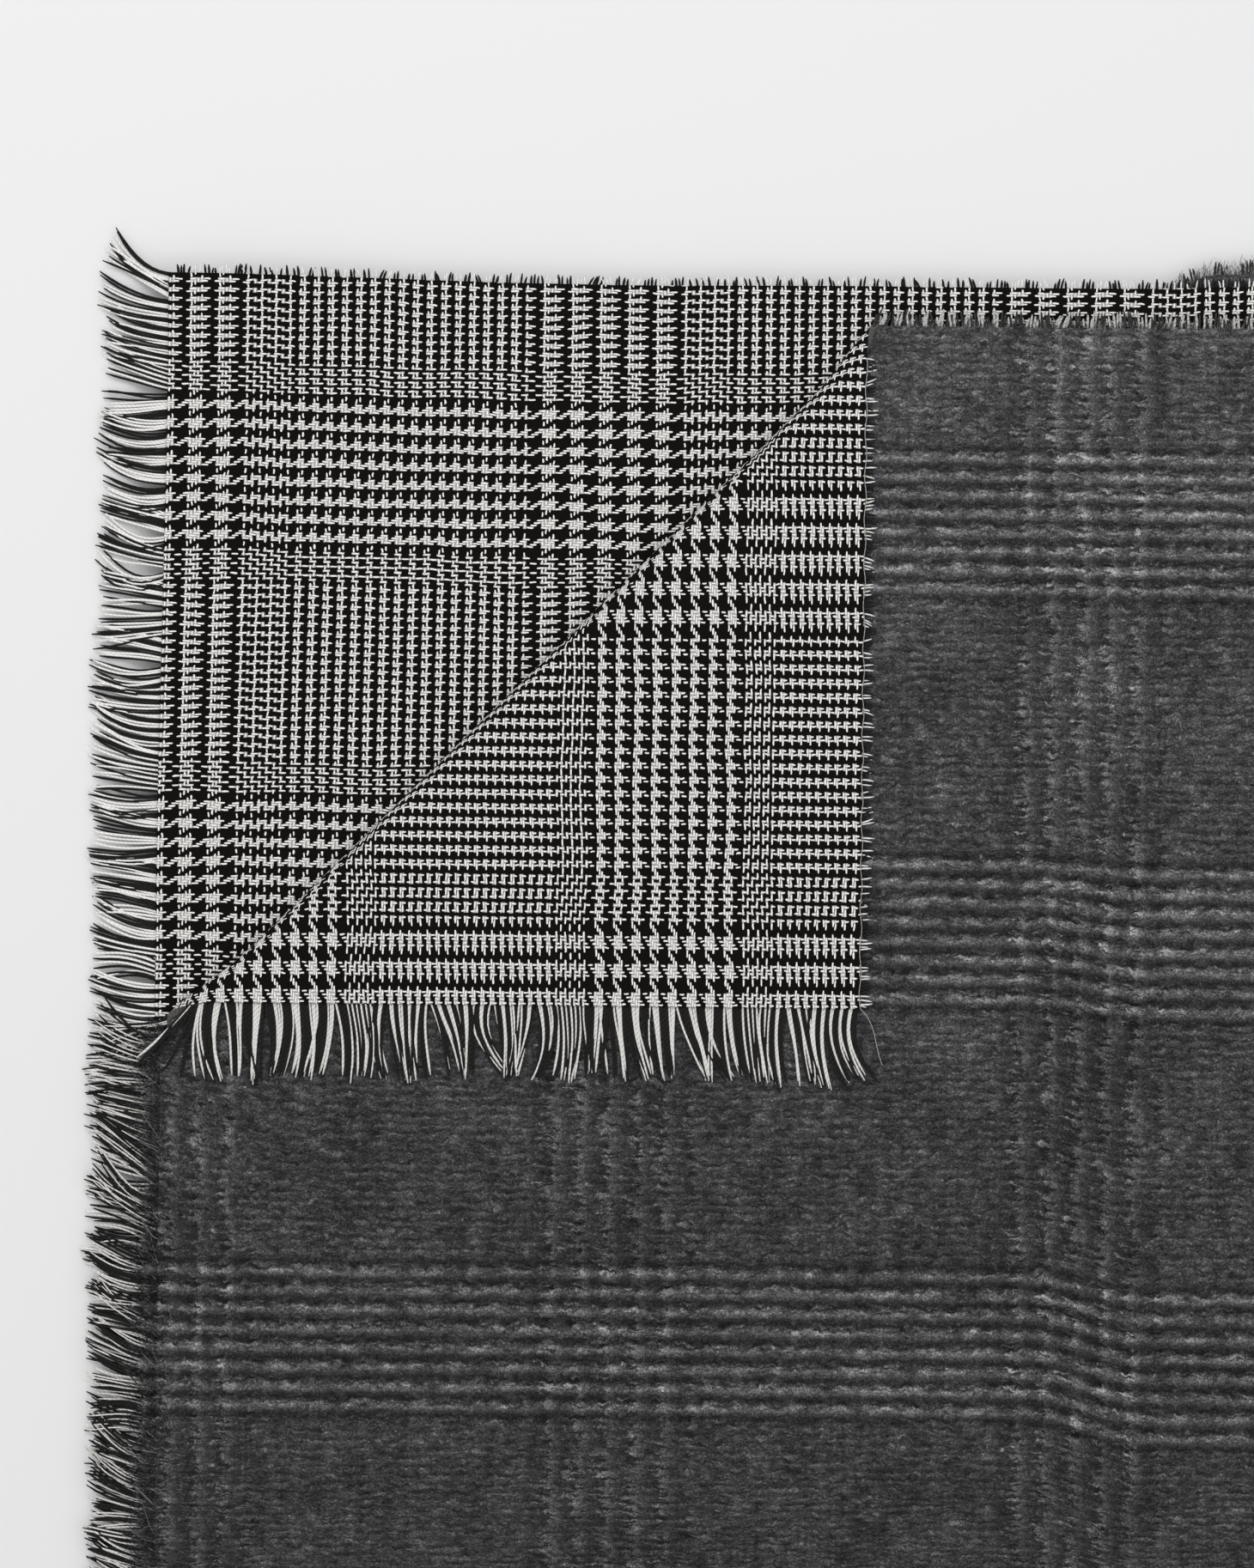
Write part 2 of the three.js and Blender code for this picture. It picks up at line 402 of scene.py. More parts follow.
def make_crease(materials):
    grid = flat_grid(np.linspace(0, 1, BEND_STEPS + 1), steps(0, 1, GRID / (CREASE_LEG * math.sqrt(2))))

    def count(share, end):
        leg = CREASE_LEG + (FLAP_LEG - CREASE_LEG) * share
        return yarn_count(leg * end, leg * (1 - end))

    return cloth("crease_cloth", grid, crease, materials, count_of=count)


def make_corner_cloth(materials):
    lines = steps(0, FLAP_LEG, GRID)
    crease_line = ((FLAP_LEG / 2, FLAP_LEG / 2), (1, 1))
    grid = flat_grid(lines, lines, [crease_line])
    return cloth("corner_cloth", grid, flap, materials)


# -------------------------------- yarns


def warp_is_white(index):
    """The colour of a warp yarn, counted from the nearer cut edge."""
    k = index % WARP_REPEAT
    r = (index - WARP_START) % WARP_REPEAT
    if r < WARP_GROUPS_END:
        return r // 4 % 2 == 1
    if r < WARP_SINGLES_END:
        return r % 2 == 0
    if r >= WARP_PAIRS_END:
        return r % 2 == 1
    return k % 4 >= 2


def weft_is_white(index):
    """The colour of a weft yarn, counted as yarn_count does."""
    shift = EARLY_SHIFT if index < EARLY_WEFTS else 0
    r = (index - WEFT_START + WEFT_REPEAT - shift) % WEFT_REPEAT
    if r < WEFT_GROUPS_END:
        return r // 4 % 2 == 1
    if r < WEFT_SINGLES_END:
        return r % 2 == 0
    return index % 4 >= 2


# A yarn's twist: the length of one turn, and how much further on the next yarn's turns lie, in millimetres.
TWIST = 2.3
NEXT_TWIST = 1.42
TIP_SIZE = 0.45


def tubes(name, paths, radii, slots, materials, sides=6, counts=None):
    """Round yarns along paths of points, as one mesh of closed tubes with thin tips.

    counts holds the cloth's yarn count at each point of each path, for a material that reads it as "yarns".
    Without it the layer "spin" holds the millimetres along a yarn and the share of the turn around it.
    """
    co, polys, face_slots = [], [], []
    ring = np.arange(sides) * 2 * math.pi / sides
    for path, radius, slot in zip(paths, radii, slots):
        path = np.asarray(path, float)
        tangent = np.gradient(path, axis=0)
        tangent /= np.linalg.norm(tangent, axis=1)[:, None]
        across = np.cross(tangent, (0, 0, 1.0))
        across /= np.maximum(np.linalg.norm(across, axis=1), 1e-9)[:, None]
        up = np.cross(across, tangent)
        size = np.full(len(path), radius)
        size[-1] *= TIP_SIZE
        base = len(co)
        around = np.cos(ring)[None, :, None] * across[:, None] + np.sin(ring)[None, :, None] * up[:, None]
        co.extend((path[:, None] + size[:, None, None] * around).reshape(-1, 3))
        last = base + (len(path) - 1) * sides
        for low in range(base, last, sides):
            for s in range(sides):
                a, b = low + s, low + (s + 1) % sides
                polys.append((a, a + sides, b + sides, b))
        polys.append([base + s for s in range(sides)])
        polys.append([last + s for s in reversed(range(sides))])
        face_slots += [slot] * ((len(path) - 1) * sides + 2)
    if counts is None:
        layer, values = "spin", spin(paths, sides)
    else:
        layer, values = "yarns", np.repeat(np.concatenate(counts), sides, axis=0)
    return add_object(name, np.array(co), polys, face_slots, [True] * len(polys), materials, layer, values)


def spin(paths, sides):
    """For each point of the tubes, the millimetres along its yarn and the share of the turn around it."""
    lengths = [
        np.linalg.norm(np.diff(p, axis=0, prepend=p[:1]), axis=1).cumsum() / MM + k * NEXT_TWIST
        for k, p in enumerate(paths)
    ]
    lengths = np.repeat(np.concatenate(lengths), sides)
    turns = np.tile(np.arange(sides) / sides, len(lengths) // sides)
    return np.stack([lengths, turns], 1)


YARN_RADIUS = 0.5 * MM
CUT_RADIUS = 0.62 * MM
ROOT_DEPTH = 3 * MM
TUFT_YARNS = (6, 13)
STRAY_SHARE = 0.05
LEAN_SHORTENS = 0.28
FRINGE_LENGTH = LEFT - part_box("second_fringe")[0].x
CUT_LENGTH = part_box("second_cut_edge")[1].y - INNER_BACK


def tufts(count, rng):
    """Splits a row of yarns into tufts: (first, last) of each."""
    found, at = [], 0
    while at < count:
        size = int(rng.integers(*TUFT_YARNS))
        found.append((at, min(count, at + size)))
        at += size
    return found


def roots_on(left, back, yarns):
    """Roots of the warp ends on a fringed edge: (yarn, place, direction) of each."""
    return [(k, (left, back - (k + 0.5) * WARP_PITCH), math.pi) for k in yarns]


def roots_around_crease(low, high):
    """The roots around the bend at the crease's fringed end. low and high are shares of the bend."""
    found = []
    for k in range(int(FLAP_LEG / WARP_PITCH), int(CREASE_LEG / WARP_PITCH)):
        share = (CREASE_LEG - k * WARP_PITCH) / (CREASE_LEG - FLAP_LEG)
        if low <= share < high:
            place = crease(np.array([share]), np.zeros(1), np.zeros(1))[0]
            found.append((k, tuple(place[:2]), math.pi * (1 + share / 2)))
    return found


def fringe(
    layer, materials, roots, sway, rest, seed, white_size=1.0, black_size=1.24, points=9, sides=6
):
    """Warp ends along a fringed edge. They leave the cloth straight, gather into tufts and sweep to one side.

    sway(share) is how far a tip goes sideways, at each share of the edge, and rest is the tips' height.
    """
    rng = np.random.default_rng(seed)
    paths, radii, slots = [], [], []
    t = np.linspace(0, 1, points)
    fall = smooth(t, 0.0, 0.8)
    whole = FRINGE_LENGTH - (EDGE_WEFTS if layer in ("second", "top") else 0)
    for first, last in tufts(len(roots), rng):
        middle_yarn = (first + last - 1) / 2 + rng.normal(0, 0.8)
        gather = rng.uniform(0.1, 0.45)
        lean = rng.normal(0, 2.4 * MM)
        bow = rng.normal(0, 1.5 * MM)
        reach = whole * rng.uniform(0.86, 1.0)
        hook = rng.uniform(1.3, 2.4)
        for low, high in colour_runs(roots, first, last):
            run_middle = (low + high - 1) / 2
            white = warp_is_white(roots[low][0])
            run_gather = rng.uniform(0.3, 0.7) if white else rng.uniform(0.1, 0.45)
            size = YARN_RADIUS * (white_size if white else black_size)
            run_lean = rng.normal(0, 1.5 * MM)
            for k in range(low, high):
                _, place, angle = roots[k]
                outward, sideways = directions(angle)
                length = reach * rng.uniform(0.9, 1.03)
                stray = rng.random() < STRAY_SHARE
                swing = sway((k + 0.5) / len(roots)) + lean + run_lean
                swing += rng.normal(0, (3.0 if stray else 0.35) * MM)
                own = (run_middle - k) * (0.1 if stray else run_gather) * smooth(t, 0.0, 0.55)
                shared = (middle_yarn - run_middle) * gather * smooth(t, 0.1, 1.0)
                lateral = (own + shared) * WARP_PITCH + swing * t**hook + bow * np.sin(math.pi * t)
                lateral = lateral + rng.normal(0, 0.2 * MM) * np.sin(2 * math.pi * t)
                lean_share = np.clip(abs(swing) / FRINGE_LENGTH, 0, 1)
                ahead = length * (t - LEAN_SHORTENS * lean_share**2 * t**2)
                path = np.outer(ahead - ROOT_DEPTH * (1 - t), outward) + np.outer(lateral, sideways)
                path[:, :2] += place
                path[:, 2] = LAYER_Z[layer] + (rest - LAYER_Z[layer]) * fall + rng.uniform(0, 1.3 * MM) * t
                path = settle(path, layer)
                path[:, 2] = np.maximum(path[:, 2], YARN_RADIUS)
                paths.append(path)
                radii.append(size * rng.uniform(0.85, 1.1))
                slots.append(int(white))
    return tubes(f"{layer}_fringe_yarns", paths, radii, slots, materials, sides)


def directions(angle):
    """(outward, sideways) of a yarn that leaves the cloth at this angle."""
    outward = np.array([math.cos(angle), math.sin(angle), 0])
    return outward, np.array([outward[1], -outward[0], 0])


def colour_runs(roots, first, last):
    """Splits the roots from first to last where the yarns' colour changes: (low, high) of each run."""
    found, low = [], first
    for k in range(first + 1, last + 1):
        if k == last or warp_is_white(roots[k][0]) != warp_is_white(roots[low][0]):
            found.append((low, k))
            low = k
    return found


CREASE_WEFTS = 6


def cut_roots_on(left, back, first, wefts):
    """Roots of the weft ends on a cut edge: (yarn, place, direction) of each."""
    return [(first + k, (left + (k + 0.5) * WEFT_PITCH, back), math.pi / 2) for k in wefts]


def cut_roots_around_crease(first):
    """The roots around the first third of the bend at the crease's other end."""
    found = []
    end = int(CREASE_LEG / WEFT_PITCH)
    for k in range(end - CREASE_WEFTS, end):
        share = (CREASE_LEG - k * WEFT_PITCH) / (CREASE_LEG - FLAP_LEG)
        place = crease(np.array([share]), np.ones(1), np.zeros(1))[0]
        found.append((first + k, tuple(place[:2]), math.pi / 2 * (1 - share)))
    return found


def cut_ends(layer, materials, roots, seed, lift=0.0, reach=1.0, white_size=0.62):
    """Short weft ends that stick out of a cut edge. Neighbours of one colour lean together."""
    rng = np.random.default_rng(seed)
    paths, radii, slots = [], [], []
    t = np.linspace(0, 1, 5)
    white_before = None
    for yarn, place, angle in roots:
        outward, sideways = directions(angle)
        white = weft_is_white(yarn)
        if white != white_before:
            white_before = white
            lean = rng.normal(0, 1.1 * MM)
        length = CUT_LENGTH * reach * rng.uniform(0.6, 1.15)
        path = np.outer(length * t - ROOT_DEPTH * (1 - t), outward)
        path += np.outer((lean + rng.normal(0, 0.4 * MM)) * t**1.5, sideways)
        path += np.outer(rng.normal(0, 0.25 * MM) * np.sin(math.pi * t), sideways)
        path[:, :2] += place
        path[:, 2] = LAYER_Z[layer] + (lift + rng.normal(0, 0.3 * MM)) * t
        paths.append(settle(path, layer))
        radii.append(CUT_RADIUS * rng.uniform(0.8, 1.1) * (white_size if white else 1))
        slots.append(int(white))
    return tubes(f"{layer}_cut_yarns", paths, radii, slots, materials)


# The share of the crease's bend whose yarns belong to the top layer. The others turn with the corner.
TOP_SHARE = 0.7


def make_fringes(white_yarns, shaded_white_yarns):
    """The five rows of fringe, by layer. The second layer's, out on the floor, is the whitest. The others
    have a darker copy of the white yarn, painted shade for the fringes that lie on the dark cloth or under
    its layers.
    """
    outer = range(int(OUTER_WIDTH / WARP_PITCH))
    inner = range(int(INNER_WIDTH / WARP_PITCH))
    uncovered = range(int(CREASE_LEG / WARP_PITCH), len(outer))
    turned = range(int(FLAP_LEG / WARP_PITCH))
    on_corner = [(k, (CORNER_X - (k + 0.5) * WARP_PITCH, CORNER_Y), 1.5 * math.pi) for k in turned]
    on_corner += roots_around_crease(TOP_SHARE, 1.0)
    on_top = roots_around_crease(0.0, TOP_SHARE) + roots_on(LEFT - EDGE_WEFTS, OUTER_BACK, uncovered)
    low, tucked = 1.0 * MM, 2.2 * MM
    on_top_layer = LAYER_Z["corner"] - 0.9 * MM

    def second_sway(s):
        return (6.0 + 17 * np.exp(-s * 38) + 2.5 * np.sin(s * 43)) * MM

    def top_sway(s):
        return (9.0 + 6 * np.sin(s * 31)) * MM * smooth(s, -0.01, 0.08)

    def corner_sway(s):
        at_tip, at_crease = -9.0 * np.exp(-s * 4.2), 19.0 * smooth(s, 0.965, 1)
        return (3.0 * np.sin(s * 17) - 1.0 + at_tip + at_crease) * MM

    def hidden_sway(s):
        return 3 * MM

    return {
        "second": fringe(
            "second", white_yarns, roots_on(LEFT - EDGE_WEFTS, INNER_BACK, inner), second_sway,
            rest=low, seed=11, white_size=1.15),
        "top": fringe(
            "top", shaded_white_yarns, on_top, top_sway,
            rest=LAYER_Z["third"], seed=12, white_size=0.8),
        "third": fringe(
            "third", shaded_white_yarns, roots_on(THIRD_LEFT, INNER_BACK, inner), hidden_sway,
            rest=tucked, seed=13, points=6, sides=5),
        "bottom": fringe(
            "bottom", shaded_white_yarns, roots_on(BOTTOM_LEFT, OUTER_BACK, outer), hidden_sway,
            rest=low, seed=14, points=6, sides=5),
        "corner": fringe(
            "corner", shaded_white_yarns, on_corner, corner_sway,
            rest=on_top_layer, seed=15, white_size=1.15, black_size=1.5),
    }


def make_cut_edges(plain, dim):
    """The five rows of weft ends, by layer. Those that stick out of the pile have dimmer copies of the yarn
    colours.
    """
    outer, inner = int(FIRST_WEFT["outer"]), int(FIRST_WEFT["inner"])
    every = range(int(UPPER_LENGTH / WEFT_PITCH))
    hidden = int(CREASE_LEG / WEFT_PITCH)
    third, bottom, turned = (
        range(int(length / WEFT_PITCH)) for length in (FOLD_X - THIRD_LEFT, FOLD_X - BOTTOM_LEFT, FLAP_LEG)
    )
    on_second = cut_roots_on(LEFT, INNER_BACK, inner, every)
    on_top = cut_roots_around_crease(outer) + cut_roots_on(LEFT, OUTER_BACK, outer, every[hidden:])
    on_third = cut_roots_on(THIRD_LEFT, INNER_BACK, inner, third)
    on_bottom = cut_roots_on(BOTTOM_LEFT, OUTER_BACK, outer, bottom)
    on_corner = [(outer + k, (CORNER_X, CORNER_Y + (k + 0.5) * WEFT_PITCH), 0.0) for k in turned]
    return {
        "second": cut_ends("second", plain, on_second, seed=21, reach=0.8),
        "top": cut_ends("top", dim, on_top, seed=22, lift=1.0 * MM, reach=1.35, white_size=1.1),
        "third": cut_ends("third", dim, on_third, seed=23, lift=0.5 * MM, reach=1.2, white_size=1.0),
        "bottom": cut_ends("bottom", plain, on_bottom, seed=24),
        "corner": cut_ends("corner", plain, on_corner, seed=25),
    }


FIBRES_PER_LOCK = 7
FIBRE_POINTS = 4
FIBRE_RADII = (0.10, 0.24)
WEST = np.array([-1.0, 0, 0])
NORTH = np.array([0, 1.0, 0])


def fuzz(name, materials, start, end, outward, reach, per_mm, light, seed, bury=3.0, sweep=0.0):
    """Fine wool fibres that stand out of the pile along an edge, in small locks.

    Slot 0 is the pile's own material, and light is the share in slot 1, a lighter one. The fibres start up to
    bury millimetres inside the edge, and sweep is the angle that they turn sideways.
    """
    layer = layer_of_fuzz(name)
    rng = np.random.default_rng(seed)
    start, end = np.array(start), np.array(end)
    run = (end - start) / np.linalg.norm(end - start)
    t = np.linspace(0, 1, FIBRE_POINTS)
    back = OUTER_BACK if layer == "top" else INNER_BACK
    paths, radii, slots, counts = [], [], [], []
    locks = int(np.linalg.norm(end - start) / MM * per_mm / FIBRES_PER_LOCK)
    for lock in rng.random(locks):
        lock_reach = reach * (0.2 + 0.9 * rng.random() ** 2)
        lock_lean = rng.normal(sweep, 0.3)
        lock_light = light * rng.uniform(0.3, 1.7)
        for _ in range(FIBRES_PER_LOCK):
            length = lock_reach * rng.uniform(0.5, 1.1)
            lean = lock_lean + rng.normal(0, 0.22)
            bow = rng.normal(0, 0.16)
            ahead = length * t * math.cos(lean) - rng.uniform(0.2, bury) * MM
            along = length * (t**1.4 * math.sin(lean) + bow * np.sin(math.pi * t)) + rng.normal(0, 0.9 * MM)
            path = np.outer(ahead, outward) + np.outer(along, (*run, 0))
            path[:, :2] += start + (end - start) * lock
            path[:, 2] = LAYER_Z[layer] + THICK * (rng.uniform(-0.1, 0.5) - 0.35 * t**2 * rng.uniform(0, 1))
            counts.append(yarn_count(path[:, 0] - LEFT, back - path[:, 1]))
            paths.append(settle(path, layer))
            radii.append(rng.uniform(*FIBRE_RADII) * MM)
            slots.append(int(rng.random() < lock_light))
    return tubes(f"{name}_fuzz", paths, radii, slots, materials, sides=3, counts=counts)


def layer_of_fuzz(name):
    """The layer that a piece of fuzz is on, whose name comes first in its own."""
    return name.split("_")[0]


# The third layer's back edge shows from here on, measured from the fringed edge.
THIRD_SHOWS = 0.462


def make_fuzz(fibres):
    """Fibres along the brushed layers' edges: over the cut ends at the back, and over the fringe's roots."""
    right = FOLD_X - 2 * MM
    crease_back = (LEFT + CREASE_LEG, OUTER_BACK)
    crease_left = (LEFT - EDGE_WEFTS, OUTER_BACK - CREASE_LEG)
    front_left = (LEFT - EDGE_WEFTS, FRONT + 2 * MM)
    tip = (CORNER_X, CORNER_Y + FLAP_LEG)
    north_west = (NORTH + WEST) / math.sqrt(2)
    third_start = (LEFT + THIRD_SHOWS, INNER_BACK)
    return {
        "top_back": fuzz(
            "top_back", fibres, crease_back, (right, OUTER_BACK), NORTH,
            reach=6 * MM, per_mm=12.0, light=0.4, seed=31),
        "top_corner": fuzz(
            "top_corner", fibres, tip, crease_back, north_west,
            reach=4 * MM, per_mm=8.0, light=0.4, seed=34),
        "top_left": fuzz(
            "top_left", fibres, crease_left, front_left, WEST,
            reach=20 * MM, per_mm=26.0, light=0.05, seed=32, bury=7.0, sweep=-0.5),
        "third_back": fuzz(
            "third_back", fibres, third_start, (right, INNER_BACK), NORTH,
            reach=10 * MM, per_mm=21.0, light=0.6, seed=33, bury=9.0),
    }


THREAD_RADIUS = 0.2 * MM
TAIL_LENGTH = 27 * MM


def make_catch_thread(material):
    """The thin thread along the turned corner's cut ends, with its loose tail that bends to the right."""
    x = CORNER_X + 0.2 * MM
    y = np.linspace(CORNER_Y + FLAP_LEG - 2 * MM, CORNER_Y, 90)
    z = LAYER_Z["corner"] + THICK / 2 + 0.1 * MM
    run = np.stack([x + 0.5 * MM * np.sin(y * 310), y, z + 0.25 * MM * np.sin(y * 690)], 1)
    t = np.linspace(0, 1, 14)[1:]
    tail_x = run[-1, 0] + (8.2 * (1 - np.exp(-3.6 * t)) + 2.9 * t**4) * MM
    tail = np.stack([tail_x, CORNER_Y - TAIL_LENGTH * t, z - 2.6 * MM * t], 1)
    path = settle(np.vstack([run, tail]), "corner")
    return tubes("catch_thread_yarn", [path], [THREAD_RADIUS], [0], [material], sides=5)


# -------------------------------- materials


class Nodes:
    """Short ways to add and link shader nodes."""

    def __init__(self, name, roughness):
        self.material = bpy.data.materials.new(name)
        self.material.use_nodes = True
        self.tree = self.material.node_tree
        self.tree.nodes.clear()
        self.shader = self.tree.nodes.new("ShaderNodeBsdfPrincipled")
        self.shader.inputs["Roughness"].default_value = roughness
        self.shader.inputs["Specular IOR Level"].default_value = 0.15
        output = self.tree.nodes.new("ShaderNodeOutputMaterial")
        self.tree.links.new(self.shader.outputs[0], output.inputs["Surface"])

    def put(self, socket, value):
        if isinstance(value, (int, float, tuple)):
            socket.default_value = value
        else:
            self.tree.links.new(value, socket)

    def math(self, operation, a, b=0.0, c=0.0):
        node = self.tree.nodes.new("ShaderNodeMath")
        node.operation = operation
        for socket, value in zip(node.inputs, (a, b, c)):
            self.put(socket, value)
        return node.outputs[0]

    def noise(self, vector, scale, detail=2.0, roughness=0.5):
        node = self.tree.nodes.new("ShaderNodeTexNoise")
        settings = {"Vector": vector, "Scale": scale, "Detail": detail, "Roughness": roughness}
        for key, value in settings.items():
            self.put(node.inputs[key], value)
        return node.outputs[0]

    def combine(self, x, y, z=0.0):
        node = self.tree.nodes.new("ShaderNodeCombineXYZ")
        for socket, value in zip(node.inputs, (x, y, z)):
            self.put(socket, value)
        return node.outputs[0]

    def pair(self, layer):
        """The two numbers of a UV layer: weft and warp counts in "yarns", and what tubes says in "spin"."""
        uv = self.tree.nodes.new("ShaderNodeUVMap")
        uv.uv_map = layer
        split = self.tree.nodes.new("ShaderNodeSeparateXYZ")
        self.tree.links.new(uv.outputs[0], split.inputs[0])
        return split.outputs[0], split.outputs[1]

    def mix(self, factor, a, b):
        """a where factor is 0, b where it is 1, for numbers."""
        return self.math("ADD", a, self.math("MULTIPLY", factor, self.math("SUBTRACT", b, a)))

    def colour(self, factor, dark, light):
        node = self.tree.nodes.new("ShaderNodeMix")
        node.data_type = "RGBA"
        self.put(node.inputs[0], factor)
        for socket, value in ((node.inputs[6], dark), (node.inputs[7], light)):
            self.put(socket, (*value, 1.0) if isinstance(value, tuple) else value)
        return node.outputs[2]

    def bump(self, height, distance):
        node = self.tree.nodes.new("ShaderNodeBump")
        node.inputs["Strength"].default_value = 1.0
        node.inputs["Distance"].default_value = distance
        self.put(node.inputs["Height"], height)
        self.tree.links.new(node.outputs[0], self.shader.inputs["Normal"])

    def less(self, a, b):
        return self.math("LESS_THAN", a, b)

    def modulo(self, a, b):
        return self.math("FLOORED_MODULO", a, b)


def warp_zone(n, index):
    """Where a warp yarn is in the repeat, and its count from the nearer cut edge."""
    k = n.math("SUBTRACT", n.math("ABSOLUTE", n.math("ADD", index, 1.0)), 1.0)
    return n.modulo(n.math("SUBTRACT", k, float(WARP_START)), float(WARP_REPEAT)), k


def weft_zone(n, index):
    """Where a weft yarn is in the repeat."""
    early = n.math("MULTIPLY", n.less(index, EARLY_WEFTS), EARLY_SHIFT)
    place = n.math("ADD", n.math("SUBTRACT", index, early), float(WEFT_REPEAT - WEFT_START))
    return n.modulo(place, float(WEFT_REPEAT))


def groups_of_four(n, r):
    """0 for four yarns, then 1 for the next four."""
    return n.modulo(n.math("FLOOR", n.math("DIVIDE", r, 4.0)), 2.0)


def pairs(n, index):
    """0 for two yarns, then 1 for the next two."""
    return n.math("SUBTRACT", 1.0, n.less(n.modulo(index, 4.0), 1.5))


def warp_white(n, index):
    """The same as warp_is_white, as nodes."""
    r, k = warp_zone(n, index)
    odd = n.modulo(r, 2.0)
    colour = n.mix(n.less(r, WARP_PAIRS_END - 0.5), odd, pairs(n, k))
    colour = n.mix(n.less(r, WARP_SINGLES_END - 0.5), colour, n.math("SUBTRACT", 1.0, odd))
    return n.mix(n.less(r, WARP_GROUPS_END - 0.5), colour, groups_of_four(n, r))


def weft_white(n, index):
    """The same as weft_is_white, as nodes."""
    r = weft_zone(n, index)
    single = n.math("SUBTRACT", 1.0, n.modulo(r, 2.0))
    colour = n.mix(n.less(r, WEFT_SINGLES_END - 0.5), pairs(n, index), single)
    return n.mix(n.less(r, WEFT_GROUPS_END - 0.5), colour, groups_of_four(n, r))


BLACK_YARN = (0.006, 0.0055, 0.005)
WHITE_YARN = (0.92, 0.905, 0.875)

# How much of its room a yarn on top fills, and how light the yarn beneath it looks in the gaps: painted shade
# there. The side and end numbers paint shade on a yarn on top, at its sides and at the ends of its float.
WARP_FILL = 0.84
WEFT_FILL = 0.58
UNDER_SHADE = 0.4
EDGE_SHARPNESS = 5.0
SIDE_SHADE = -0.35
END_SHADE = -0.3


def yarn_float(n, across, along, width):
    """(mask, shade) of a yarn that lies on top. Its ends taper. The shade is painted: darker at the yarn's
    sides and at the ends of its float.

    Both counts run from 0 to 1 over its room, and width is the share of that room that it fills.
    """
    off = n.math("ABSOLUTE", n.math("SUBTRACT", n.math("MULTIPLY", across, 2.0), 1.0))
    end = n.math("ABSOLUTE", n.math("SUBTRACT", n.math("MULTIPLY", along, 2.0), 1.0))
    taper = n.math("POWER", end, 5.0)
    room = n.math("MULTIPLY_ADD", taper, -0.5 * width, width)
    mask = n.math("MULTIPLY", n.math("SUBTRACT", room, off), EDGE_SHARPNESS)
    mask = n.math("MINIMUM", n.math("MAXIMUM", mask, 0.0), 1.0)
    side = n.math("MULTIPLY", n.math("POWER", off, 2.0), SIDE_SHADE)
    shade = n.math("MULTIPLY_ADD", taper, END_SHADE, n.math("ADD", side, 1.0))
    return mask, shade


def check_material():
    """A 2/2 twill of black and white yarns. A thin yarn lets the one beneath it show at its sides, darkened
    there in painted shade. Each yarn on top has painted shade at its sides and float ends.
    """
    n = Nodes("woven_check", 0.9)
    n.shader.inputs["Specular IOR Level"].default_value = 0.06
    weft, warp = n.pair("yarns")
    place = n.combine(weft, n.math("MULTIPLY", warp, WARP_PITCH / WEFT_PITCH))
    slow = n.math("SUBTRACT", n.noise(place, 0.04, 2.0), 0.5)
    quick = n.math("SUBTRACT", n.noise(place, 0.45, 2.0), 0.5)
    other = n.math("SUBTRACT", n.noise(n.combine(warp, weft, 5.0), 0.4, 2.0), 0.5)
    v = n.math("ADD", warp, n.math("MULTIPLY_ADD", slow, 3.4, n.math("MULTIPLY", quick, 0.9)))
    u = n.math("MULTIPLY_ADD", other, 0.8, weft)
    i, j = n.math("FLOOR", v), n.math("FLOOR", u)
    twill = n.modulo(n.math("ADD", n.math("SUBTRACT", j, i), 1.0), 4.0)
    warp_over = n.less(twill, 1.5)
    warp_tone, weft_tone = warp_white(n, i), weft_white(n, j)
    warp_run = n.modulo(n.math("ADD", n.math("SUBTRACT", u, i), 1.0), 4.0)
    weft_run = n.modulo(n.math("ADD", n.math("SUBTRACT", v, j), 2.0), 4.0)
    warp_mask, warp_shade = yarn_float(n, n.math("FRACT", v), n.math("DIVIDE", warp_run, 2.0), WARP_FILL)
    weft_mask, weft_shade = yarn_float(n, n.math("FRACT", u), n.math("DIVIDE", weft_run, 2.0), WEFT_FILL)
    fibre = n.noise(n.combine(weft, warp), 3.2, 3.0, 0.6)
    top = n.mix(warp_over, weft_tone, warp_tone)
    shade = n.mix(warp_over, weft_shade, warp_shade)
    # Painted shade: the yarn beneath is darkened where it shows in the gaps between yarns on top.
    shaded_under = n.math("MULTIPLY", n.mix(warp_over, warp_tone, weft_tone), UNDER_SHADE)
    mask = n.mix(warp_over, weft_mask, warp_mask)
    tone = n.math("MULTIPLY", top, n.mix(mask, shaded_under, shade))
    tone = n.math("MULTIPLY", tone, n.math("MULTIPLY_ADD", fibre, 0.36, 0.88))
    n.put(n.shader.inputs["Base Color"], n.colour(tone, BLACK_YARN, WHITE_YARN))
    height = n.math("MULTIPLY", mask, shade)
    n.bump(n.math("MULTIPLY_ADD", fibre, 0.3, height), 0.3 * MM)
    return n.material


def ridge(n, value, sharp):
    """Turns a noise from 0 to 1 into thin bright lines where it crosses its middle."""
    off = n.math("ABSOLUTE", n.math("SUBTRACT", value, 0.5))
    return n.math("MAXIMUM", n.math("MULTIPLY_ADD", off, -sharp, 1.0), 0.0)


def bars(n, r, width):
    """-1 to 1 over groups of four yarns, inside the zone from 0 to width. 0 outside it."""
    wave = n.math("SINE", n.math("MULTIPLY", n.math("SUBTRACT", r, 4.0), math.pi / 4))
    return n.math("MULTIPLY", wave, n.less(r, width))


DARK_PILE = (0.003, 0.0031, 0.0036)
LIGHT_PILE = (0.595, 0.583, 0.60)
PILE_TONE = 0.065

# Painted shade: the pile is lightest at the cut edges and darker further in, where the light falls off. The
# first number is how far in, in millimetres, and the second how many doublings darker it is there.
FALLOFF_REACH = 400.0
FALLOFF_DOUBLINGS = -0.62


